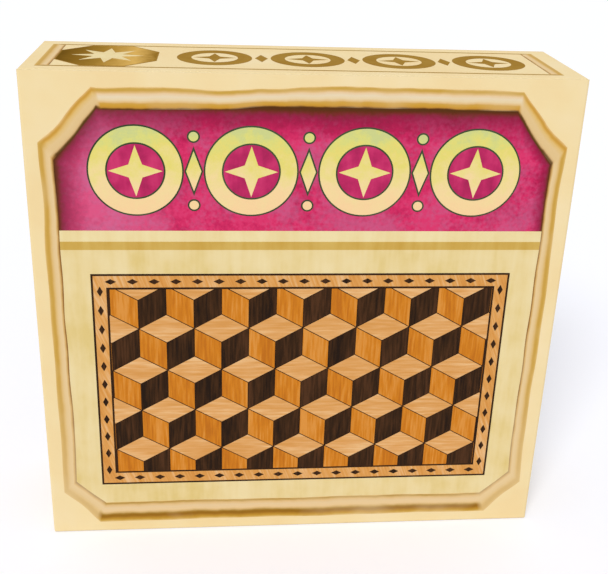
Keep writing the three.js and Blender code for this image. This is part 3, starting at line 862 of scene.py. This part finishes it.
def roundels(panel, centres, radius):
    """A row of pale rings outlined in green, each with a plum eye and a star in it."""
    low = centres[0][1] - radius
    eye = radius * EYE_SHARE

    def height_share(_, v):
        return (v - low) / (2 * radius)

    discs = (("roundel_lines", radius, LINE_INK, None),
             ("roundels", radius - OUTLINE_MM, ORNAMENT_INK, height_share),
             ("eye_lines", eye, LINE_INK, None), ("eyes", eye - OUTLINE_MM, EYE_INK, None))
    for layer, (name, size, finish, share_of) in enumerate(discs, ORNAMENT_LAYER):
        shapes_film(name, panel, [disc(centre, size) for centre in centres], layer, finish, share_of)
    stars = [roundel_star(centre, radius) for centre in centres]
    shapes_film("stars", panel, stars, ORNAMENT_LAYER + len(discs), ORNAMENT_INK, height_share)


def outlined(name, panel, shapes, wider):
    """Small pale shapes on wider green ones, with one run of colour from the lowest to the highest."""
    low = min(v for shape in shapes for _, v in shape)
    span = max(v for shape in shapes for _, v in shape) - low
    shapes_film(f"{name}_lines", panel, wider, ORNAMENT_LAYER, LINE_INK)
    shapes_film(f"{name}s", panel, shapes, ORNAMENT_LAYER + 1, ORNAMENT_INK, lambda _, v: (v - low) / span)


def links(panel, centres):
    """The lozenges that join a row."""
    shapes = [lozenge(centre, *LINK_HALF_MM) for centre in centres]
    outlined("link", panel, shapes, [moved_out(shape, OUTLINE_MM) for shape in shapes])


print(f"an eye is {EYE_SHARE:.0%} of its roundel across")

# %% [markdown]
# The front gets the full row. The back is plainer, with lozenges only, and each narrow side has one roundel.

# %% Ornaments in the band
ROUNDELS, BACK_LINKS = 4, 7
ROUNDEL_RADIUS_MM = 17
ROUNDEL_PITCH_MM = 41
ORNAMENT_HEIGHT_MM = 156.8
BEAD_RADIUS_MM = 1.7
BEAD_OFFSET_MM = 12.8
SIDE_RADIUS_MM = 11

roundels(FRONT, row(WIDTH_MM / 2, ROUNDEL_PITCH_MM, ROUNDELS, ORNAMENT_HEIGHT_MM), ROUNDEL_RADIUS_MM)
between = row(WIDTH_MM / 2, ROUNDEL_PITCH_MM, ROUNDELS - 1, ORNAMENT_HEIGHT_MM)
links(FRONT, between)
centres = [(u, v + way) for u, v in between for way in (-BEAD_OFFSET_MM, BEAD_OFFSET_MM)]
beads = [disc(centre, BEAD_RADIUS_MM) for centre in centres]
outlined("bead", FRONT, beads, [disc(centre, BEAD_RADIUS_MM + OUTLINE_MM) for centre in centres])
links(BACK, row(WIDTH_MM / 2, ROUNDEL_PITCH_MM / 2, BACK_LINKS, ORNAMENT_HEIGHT_MM))
for panel in (LEFT, RIGHT):
    roundels(panel, [(DEPTH_MM / 2, ORNAMENT_HEIGHT_MM)], SIDE_RADIUS_MM)
print("roundels", 2 * ROUNDEL_RADIUS_MM, "mm across")

# %% [markdown]
# ## The inlaid field
# Below the band lies a printed inlay: the old tumbling blocks pattern, in which three rhombi of light, amber
# and dark wood look like a stack of cubes. The print is a picture of veneer, so the grain is streaks of colour
# without relief, turned another way in each wood.

# %% Pictures of wood
GRAIN_MM = 0.9
GRAIN_STRETCH = 12
FIGURE_MM = 9
FIGURE_SHARE = 0.45
UPRIGHT_GRAIN, LEANING_GRAIN, LEVEL_GRAIN = 0, 20, 90


def printed_wood(name, stops, grain_degrees):
    """A picture of veneer, with its grain turned from upright by so many degrees."""
    material, tree, shader = new_finish(name)
    place = add(tree, "TexCoord").outputs["Object"]
    turned = add(tree, "VectorRotate", {"Vector": place, "Angle": math.radians(grain_degrees)},
                 rotation_type="Y_AXIS")
    drawn_out = add(tree, "VectorMath", {0: turned, 1: (1, 1, 1 / GRAIN_STRETCH)}, operation="MULTIPLY")
    grain = add(tree, "TexNoise", {"Vector": drawn_out, "Scale": per_mm(GRAIN_MM), "Detail": EVEN})
    figure = add(tree, "TexNoise", {"Vector": drawn_out, "Scale": per_mm(FIGURE_MM), "Detail": SOFT})
    blend = add(tree, "Mix", {0: FIGURE_SHARE, 2: grain, 3: figure})
    varnish(tree, shader, place, add(tree, "ValToRGB", {"Fac": blend}, stops=stops))
    return material


# Printed veneers: honey maple, amber cherry, near-black walnut and plain beech, all under the same varnish.
MAPLE_STOPS = [(0.38, "#D99A52"), (0.5, "#E2A866"), (0.62, "#EDBE84")]
CHERRY_STOPS = [(0.38, "#C06F1B"), (0.5, "#D2801F"), (0.62, "#DE9440")]
WALNUT_STOPS = [(0.38, "#22140A"), (0.5, "#38220F"), (0.62, "#4E301A")]
PLAIN_BEECH_STOPS = [(0.36, "#D48F42"), (0.5, "#DFA055"), (0.64, "#EBBB82")]
MAPLE = printed_wood("litho_picture_of_maple", MAPLE_STOPS, LEVEL_GRAIN)
CHERRY = printed_wood("litho_picture_of_cherry", CHERRY_STOPS, UPRIGHT_GRAIN)
WALNUT = printed_wood("litho_picture_of_walnut", WALNUT_STOPS, UPRIGHT_GRAIN)
BEECH = printed_wood("litho_picture_of_beech", PLAIN_BEECH_STOPS, LEANING_GRAIN)
print("veneers printed: maple, cherry, walnut, beech")

# %% [markdown]
# One function makes the rhombus over two edges of a cube, and another lists the middles of the cubes that
# cover a field. Each rhombus is a little smaller than its place, and the joints that are left show the dark
# backing. A last function trims every tile to the field, side by side, as a knife along a ruler would.

# %% Tiles
JOINT_MM = 0.35
HEXAGON_SIDES = 6


def hexagon(centre, side, first_degrees):
    """The outline of a cube that is seen corner on."""
    return around(centre, [side] * HEXAGON_SIDES, math.radians(first_degrees))


def rhombus(centre, side, first_degrees):
    """A rhombus from the middle of a cube, over two of the cube's edges that lie 120 degrees apart."""
    return moved_out([centre, *hexagon(centre, side, first_degrees)[:3]], -JOINT_MM / 2)


def cube_centres(field, side):
    """The middles of the cubes that cover a field. They mesh like the cells of a honeycomb, row by row."""
    pitch, rise = side * math.sqrt(3), side * 3 / 2
    low = [min(point[axis] for point in field) for axis in (0, 1)]
    high = [max(point[axis] for point in field) for axis in (0, 1)]
    middle = [(a + b) / 2 for a, b in zip(low, high)]
    rows = math.ceil((high[1] - low[1]) / 2 / rise) + 1
    columns = math.ceil((high[0] - low[0]) / 2 / pitch) + 1
    return [(middle[0] + (column + line % 2 / 2) * pitch, middle[1] + line * rise)
            for line in range(-rows, rows + 1) for column in range(-columns, columns + 1)]


def trimmed(outline, field):
    """The part of a convex outline that lies inside a convex anticlockwise field."""
    for a, b in sides_of(field):
        depths = [(Vector(point) - Vector(a)).dot(inward(a, b)) for point in outline]
        kept = []
        for (start, end), (depth, end_depth) in zip(sides_of(outline), sides_of(depths)):
            if depth >= 0:
                kept.append(start)
            if (depth >= 0) != (end_depth >= 0):
                kept.append(tuple(Vector(start).lerp(Vector(end), depth / (depth - end_depth))))
        outline = kept
    return outline


# %% [markdown]
# The three woods are three films on one dark backing. A cube's light top spans the two edges that point up and
# outward, its amber face is on the left and its dark face on the right.

# %% Tumbling blocks
TOP_DEGREES, LEFT_FACE_DEGREES, RIGHT_FACE_DEGREES = 30, 150, 270
CUBE_FACES = (("maple_tiles", TOP_DEGREES, MAPLE), ("cherry_tiles", LEFT_FACE_DEGREES, CHERRY),
              ("walnut_tiles", RIGHT_FACE_DEGREES, WALNUT))


def inlay(panel, field, side):
    """Tumbling blocks over a field: three films of tiles on a dark backing."""
    shapes_film("inlay_backing", panel, [field], INLAY_LAYER, BACKING)
    for name, first_degrees, veneer in CUBE_FACES:
        tiles = [trimmed(rhombus(centre, side, first_degrees), field) for centre in cube_centres(field, side)]
        tiles = [tile for tile in tiles if len(tile) > 2]
        shapes_film(name, panel, tiles, INLAY_LAYER + 1, veneer)
        print(panel.name, len(tiles), name)


def single_cubes(panel, centres, side):
    """Cubes that stand alone, each on a dark hexagon."""
    backings = [moved_out(hexagon(centre, side, TOP_DEGREES), OUTLINE_MM) for centre in centres]
    shapes_film("cube_backings", panel, backings, ORNAMENT_LAYER, BACKING)
    for name, first_degrees, veneer in CUBE_FACES:
        tiles = [rhombus(centre, side, first_degrees) for centre in centres]
        shapes_film(name, panel, tiles, ORNAMENT_LAYER + 1, veneer)


print("a cube shows", len(CUBE_FACES), "faces")

# %% [markdown]
# A border of beech runs round the field, between two dark lines, with small walnut lozenges let into it. They
# are spaced evenly along each side.

# %% Border
BORDER_MM = 5.5
BORDER_LINE_MM = 0.8
LET_IN_PITCH_MM = 8
LET_IN_HALF_MM = (2.1, 1.1)


def border(panel, field):
    """A beech border round a field, with a dark line on both sides of it and lozenges let into it."""
    backing = moved_out(field, BORDER_MM + BORDER_LINE_MM)
    band = (moved_out(field, BORDER_MM), moved_out(field, BORDER_LINE_MM))
    shapes_film("border_lines", panel, [backing], ORNAMENT_LAYER, BACKING)
    rings_film("border", panel, [band], ORNAMENT_LAYER + 1, BEECH)
    middle = moved_out(field, (BORDER_MM + BORDER_LINE_MM) / 2)
    let_in = []
    for a, b in sides_of(middle):
        start, end = Vector(a), Vector(b)
        count = round((end - start).length / LET_IN_PITCH_MM)
        along = (end - start).normalized()
        across = Vector((-along.y, along.x))
        long, short = along * LET_IN_HALF_MM[0], across * LET_IN_HALF_MM[1]
        for step in range(count):
            centre = start.lerp(end, (step + 0.5) / count)
            let_in.append([tuple(centre + way) for way in (-short, long, short, -long)])
    shapes_film("let_in_lozenges", panel, let_in, ORNAMENT_LAYER + 2, WALNUT)
    print(panel.name, len(let_in), "lozenges let into the border")


# %% [markdown]
# The front has the large field. On the back it is smaller, with finer tiles and cut corners, and the narrow
# sides carry three single cubes, one above the other.

# %% Inlays on the four walls
TILE_SIDE_MM = 12
FIELD_LOW_MM = (27, 29.5)
FIELD_HIGH_MM = (173, 110.5)
BACK_TILE_SIDE_MM = 9
BACK_FIELD_LOW_MM = (62, 35)
BACK_FIELD_HIGH_MM = (138, 103)
BACK_FIELD_CUT_MM = (15, 15)
SIDE_TILE_MM = 9.5
SIDE_CUBE_HEIGHTS_MM = (42, 69, 96)

front_field = rectangle(FIELD_LOW_MM, FIELD_HIGH_MM)
back_field = clipped(BACK_FIELD_LOW_MM, BACK_FIELD_HIGH_MM, BACK_FIELD_CUT_MM, BACK_FIELD_CUT_MM)
for panel, field, tile_side in ((FRONT, front_field, TILE_SIDE_MM), (BACK, back_field, BACK_TILE_SIDE_MM)):
    border(panel, field)
    inlay(panel, field, tile_side)
for panel in (LEFT, RIGHT):
    single_cubes(panel, [(DEPTH_MM / 2, height) for height in SIDE_CUBE_HEIGHTS_MM], SIDE_TILE_MM)
print("films so far:", len(films))

# %% [markdown]
# ## The lid
# The lid repeats the frame in a slimmer form: fine bronze lines along its length and a moulding across each
# end, cut to a slight mitre.

# %% Lines and mouldings on the lid
LID_LINE_MM = 1.1
LID_LEFT_MM, LID_RIGHT_MM, LID_BORDER_MM = 4.8, 7.4, 7.0
LID_END_MM = 4.8
LID_MITRE_MM = 1.8
LID_END_SHARE = 0.97

low = (LID_LEFT_MM, LID_BORDER_MM)
high = (LID.width - LID_RIGHT_MM, LID.height - LID_BORDER_MM)
front_line = rectangle(low, (high[0], low[1] + LID_LINE_MM))
back_line = rectangle((low[0], high[1] - LID_LINE_MM), high)
shapes_film("front_line", LID, [front_line], GROUND_LAYER, LID_INK)
shapes_film("back_line", LID, [back_line], GROUND_LAYER, LID_INK)
for name, edge, inner, face in (("left_end", low[0], low[0] + LID_END_MM, [0, 2, 3, 1]),
                                ("right_end", high[0], high[0] - LID_END_MM, [0, 1, 3, 2])):
    points = [(edge, low[1]), (edge, high[1]), (inner, low[1] + LID_MITRE_MM), (inner, high[1] - LID_MITRE_MM)]
    film(name, LID, points, [face], ORNAMENT_LAYER, MOULDING, share=[0, 0, LID_END_SHARE, LID_END_SHARE],
         **{rider: [0] * len(points) for rider in OTHER_BARS})
print(f"lid lines {high[0] - low[0]:.0f} mm long")

# %% [markdown]
# A gold plate with cut corners lies at the lid's left, and four roundels in one bronze ink fill the rest.

# %% Plate and roundels on the lid
PLATE_LOW_MM = (10, 9)
PLATE_HIGH_MM = (45, 45)
PLATE_CUT_MM = (10, 10)
PLATE_STAR_MM = (13, 5.5)
PLATE_STAR_TIPS = 8
LID_RADIUS_MM = 13.8
LID_PITCH_MM = 34.5
LID_ROW_MIDDLE_MM = 118
LID_LINK_HALF_MM = (2.4, 6.5)

plate = clipped(PLATE_LOW_MM, PLATE_HIGH_MM, PLATE_CUT_MM, PLATE_CUT_MM)
plate_middle = [(a + b) / 2 for a, b in zip(PLATE_LOW_MM, PLATE_HIGH_MM)]
plate_width = PLATE_HIGH_MM[0] - PLATE_LOW_MM[0]
plate_star = star(plate_middle, *PLATE_STAR_MM, PLATE_STAR_TIPS)
shapes_film("plate_line", LID, [moved_out(plate, OUTLINE_MM)], GROUND_LAYER, LID_INK)
shapes_film("plate", LID, [plate], ORNAMENT_LAYER, GOLD_INK, lambda u, _: (u - PLATE_LOW_MM[0]) / plate_width)
shapes_film("plate_star", LID, [plate_star], ORNAMENT_LAYER + 1, PALE_RULE)

centres = row(LID_ROW_MIDDLE_MM, LID_PITCH_MM, ROUNDELS, LID.height / 2)
rings = [(disc(centre, LID_RADIUS_MM), disc(centre, LID_RADIUS_MM * EYE_SHARE)) for centre in centres]
stars = [roundel_star(centre, LID_RADIUS_MM) for centre in centres]
between = row(LID_ROW_MIDDLE_MM, LID_PITCH_MM, ROUNDELS - 1, LID.height / 2)
lozenges = [lozenge(centre, *LID_LINK_HALF_MM) for centre in between]
rings_film("rings", LID, rings, GROUND_LAYER, LID_INK)
shapes_film("stars", LID, stars, GROUND_LAYER, LID_INK)
shapes_film("links", LID, lozenges, GROUND_LAYER, LID_INK)
print("films in all:", len(films))

# %% [markdown]
# ## Wood
# The game is beech. Wood is built from layers of growth, so its colour is a function of where a point lies in
# the tree: streaks that run far along the grain and change fast across it, and in beech also the short dark
# flecks of the rays. Every block was sawn from another spot, so each one reads its pattern from a place of its
# own, picked by the column and row that it stands in.

# %% A spot in the tree for each block
# A cell starts just before its block, and takes in the whole depth of the carton and far more.
CELL_MARGIN_SHARE = 0.001
CELL_FRONT_M, CELL_DEPTH_M = -1, 9
first_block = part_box(next(name for name in nodes if name.startswith("block_c1_r1")))[0]
next_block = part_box(next(name for name in nodes if name.startswith("block_c2_r2")))[0]
BLOCK_PITCH, BLOCK_RISE = next_block.x - first_block.x, next_block.z - first_block.z


def own_spot(tree, place):
    """Moves the pattern to another spot in the tree for each block."""
    corner = (first_block.x - BLOCK_PITCH * CELL_MARGIN_SHARE, CELL_FRONT_M,
              first_block.z - BLOCK_RISE * CELL_MARGIN_SHARE)
    from_corner = add(tree, "VectorMath", {0: place, 1: corner}, operation="SUBTRACT")
    cell = add(tree, "VectorMath", {0: from_corner, 1: (BLOCK_PITCH, CELL_DEPTH_M, BLOCK_RISE)},
               operation="SNAP")
    spot = add(tree, "TexWhiteNoise", {"Vector": cell}, noise_dimensions="3D")
    return add(tree, "VectorMath", {0: place, 1: spot.outputs["Color"]}, operation="ADD")


print(f"blocks stand {BLOCK_PITCH / MM:.1f} mm apart and {BLOCK_RISE / MM:.1f} mm above each other")

# %% [markdown]
# The recipe stretches two noises far along the grain, one for the figure and a fine one for the pores, and a
# third one a little, for the flecks. The pores also roughen the lacquer and dent it a little.

# %% Wood recipe
WOOD_FIGURE_MM = 9
FIGURE_BEND = 0.4
PORE_MM = 0.7
PORE_SHARE = 0.35
LENGTH_STRETCH = 14
FLECK_MM = 1.3
FLECK_STRETCH = 4
FLECK_LIMITS = (0.6, 0.7)
FLECK_HEX = "#8A5220"
WOOD_RELIEF_MM = 0.08
WOOD_RELIEF_SHARE = 0.25
WOOD_SHINE = 0.3
ROUGHNESS_SPREAD = 0.15


def sawn_wood(name, stops, grain, roughness, fleck_share, for_blocks=False):
    """Lacquered wood, with its grain along the axis whose number is given."""
    material, tree, shader = new_finish(name)
    place = add(tree, "TexCoord").outputs["Object"]
    if for_blocks:
        place = own_spot(tree, place)
    long_scale, short_scale = [tuple(1 / stretch if axis == grain else 1 for axis in range(3))
                               for stretch in (LENGTH_STRETCH, FLECK_STRETCH)]
    drawn_out = add(tree, "VectorMath", {0: place, 1: long_scale}, operation="MULTIPLY")
    figure = add(tree, "TexNoise", {"Vector": drawn_out, "Scale": per_mm(WOOD_FIGURE_MM), "Detail": RAGGED,
                                    "Distortion": FIGURE_BEND})
    pores = add(tree, "TexNoise", {"Vector": drawn_out, "Scale": per_mm(PORE_MM), "Detail": EVEN})
    blend = add(tree, "Mix", {0: PORE_SHARE, 2: figure, 3: pores})
    growth = add(tree, "ValToRGB", {"Fac": blend}, stops=stops)
    drawn_short = add(tree, "VectorMath", {0: place, 1: short_scale}, operation="MULTIPLY")
    rays = add(tree, "TexNoise", {"Vector": drawn_short, "Scale": per_mm(FLECK_MM), "Detail": ONE_LAYER})
    flecks = add(tree, "MapRange", {"Value": rays, "From": FLECK_LIMITS, "To": (0, fleck_share)})
    colour = add(tree, "Mix", {0: flecks, 6: growth, 7: ink(FLECK_HEX)}, data_type="RGBA")
    spread = (roughness, roughness + ROUGHNESS_SPREAD)
    coat(tree, shader, colour, WOOD_SHINE, pores, spread, WOOD_RELIEF_SHARE, WOOD_RELIEF_MM)
    return material


print("pores", PORE_MM, "mm, flecks", FLECK_MM, "mm wide")

# %% [markdown]
# The bar and the dowels are clear lacquered. Half of the blocks are stained dark before the lacquer, so that
# the two players can tell theirs apart. The bar's grain runs along it, and that of all the rest is upright.

# %% Wooden game
BEECH_STOPS = [(0.34, "#D08F45"), (0.5, "#DFA45C"), (0.66, "#ECC08A")]
WARM_BEECH_STOPS = [(0.34, "#CB8236"), (0.5, "#E0A45C"), (0.66, "#EDBD82")]
STAINED_STOPS = [(0.34, "#1F120A"), (0.5, "#382213"), (0.66, "#523620")]
ALONG_X, ALONG_Z = 0, 2
# The roughness of each lacquer, and how strongly the flecks show through it.
CLEAR, WARM, STAINED = (0.42, 0.3), (0.4, 0.25), (0.36, 0.1)

# Lacquered beech: clear satin over pale gold wood with short brown flecks.
BAR = sawn_wood("lacquered_beech_bar", BEECH_STOPS, ALONG_X, *CLEAR)
DOWEL = sawn_wood("lacquered_beech_dowel", BEECH_STOPS, ALONG_Z, *CLEAR)
# Blocks of the same wood: warmer where the lacquer is thicker, and no two alike.
LIGHT_BLOCK = sawn_wood("lacquered_beech_block", WARM_BEECH_STOPS, ALONG_Z, *WARM, for_blocks=True)
# Stained beech: nearly black brown that still lets the grain through, a little glossier.
DARK_BLOCK = sawn_wood("stained_beech_block", STAINED_STOPS, ALONG_Z, *STAINED, for_blocks=True)

dress("game_base", BAR)
for node in nodes:
    if node.startswith("post_"):
        dress(node, DOWEL)
    if node.startswith("block_"):
        dress(node, DARK_BLOCK if node.endswith("dark") else LIGHT_BLOCK)
print("wood on", sum("beech" in node.material_slots[0].name for node in nodes.values()), "nodes")

# %% [markdown]
# ## The rules sheet
# The folded sheet is plain uncoated offset paper. It has no varnish, so it is matt, and the clumps of its
# fibres show as a slight unevenness.

# %% Paper
PAPER_STOPS = [(0.35, "#EDE4CC"), (0.65, "#F6F0DF")]
PAPER_ROUGHNESS = 0.85
PAPER_SHINE = 0.08

# Uncoated offset paper: soft white, dead matt, a little cloudy.
offset_paper, tree, shader = new_finish("uncoated_offset_paper")
place = add(tree, "TexCoord").outputs["Object"]
clumps = add(tree, "TexNoise", {"Vector": place, "Scale": per_mm(FIBRE_CLUMP_MM), "Detail": RAGGED})
cloudy = add(tree, "ValToRGB", {"Fac": clumps}, stops=PAPER_STOPS)
feed(shader, {"Base Color": cloudy, "Roughness": PAPER_ROUGHNESS, "Specular IOR Level": PAPER_SHINE})
dress("rules_sheet", offset_paper)
print("paper on the rules sheet")

# %% [markdown]
# ## Sizes
# The box of the dressed model, without the floor, is measured and printed in millimetres.

# %% Box of the dressed model
low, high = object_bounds()
print("visual box", [round(side / MM, 2) for side in high - low], "mm")
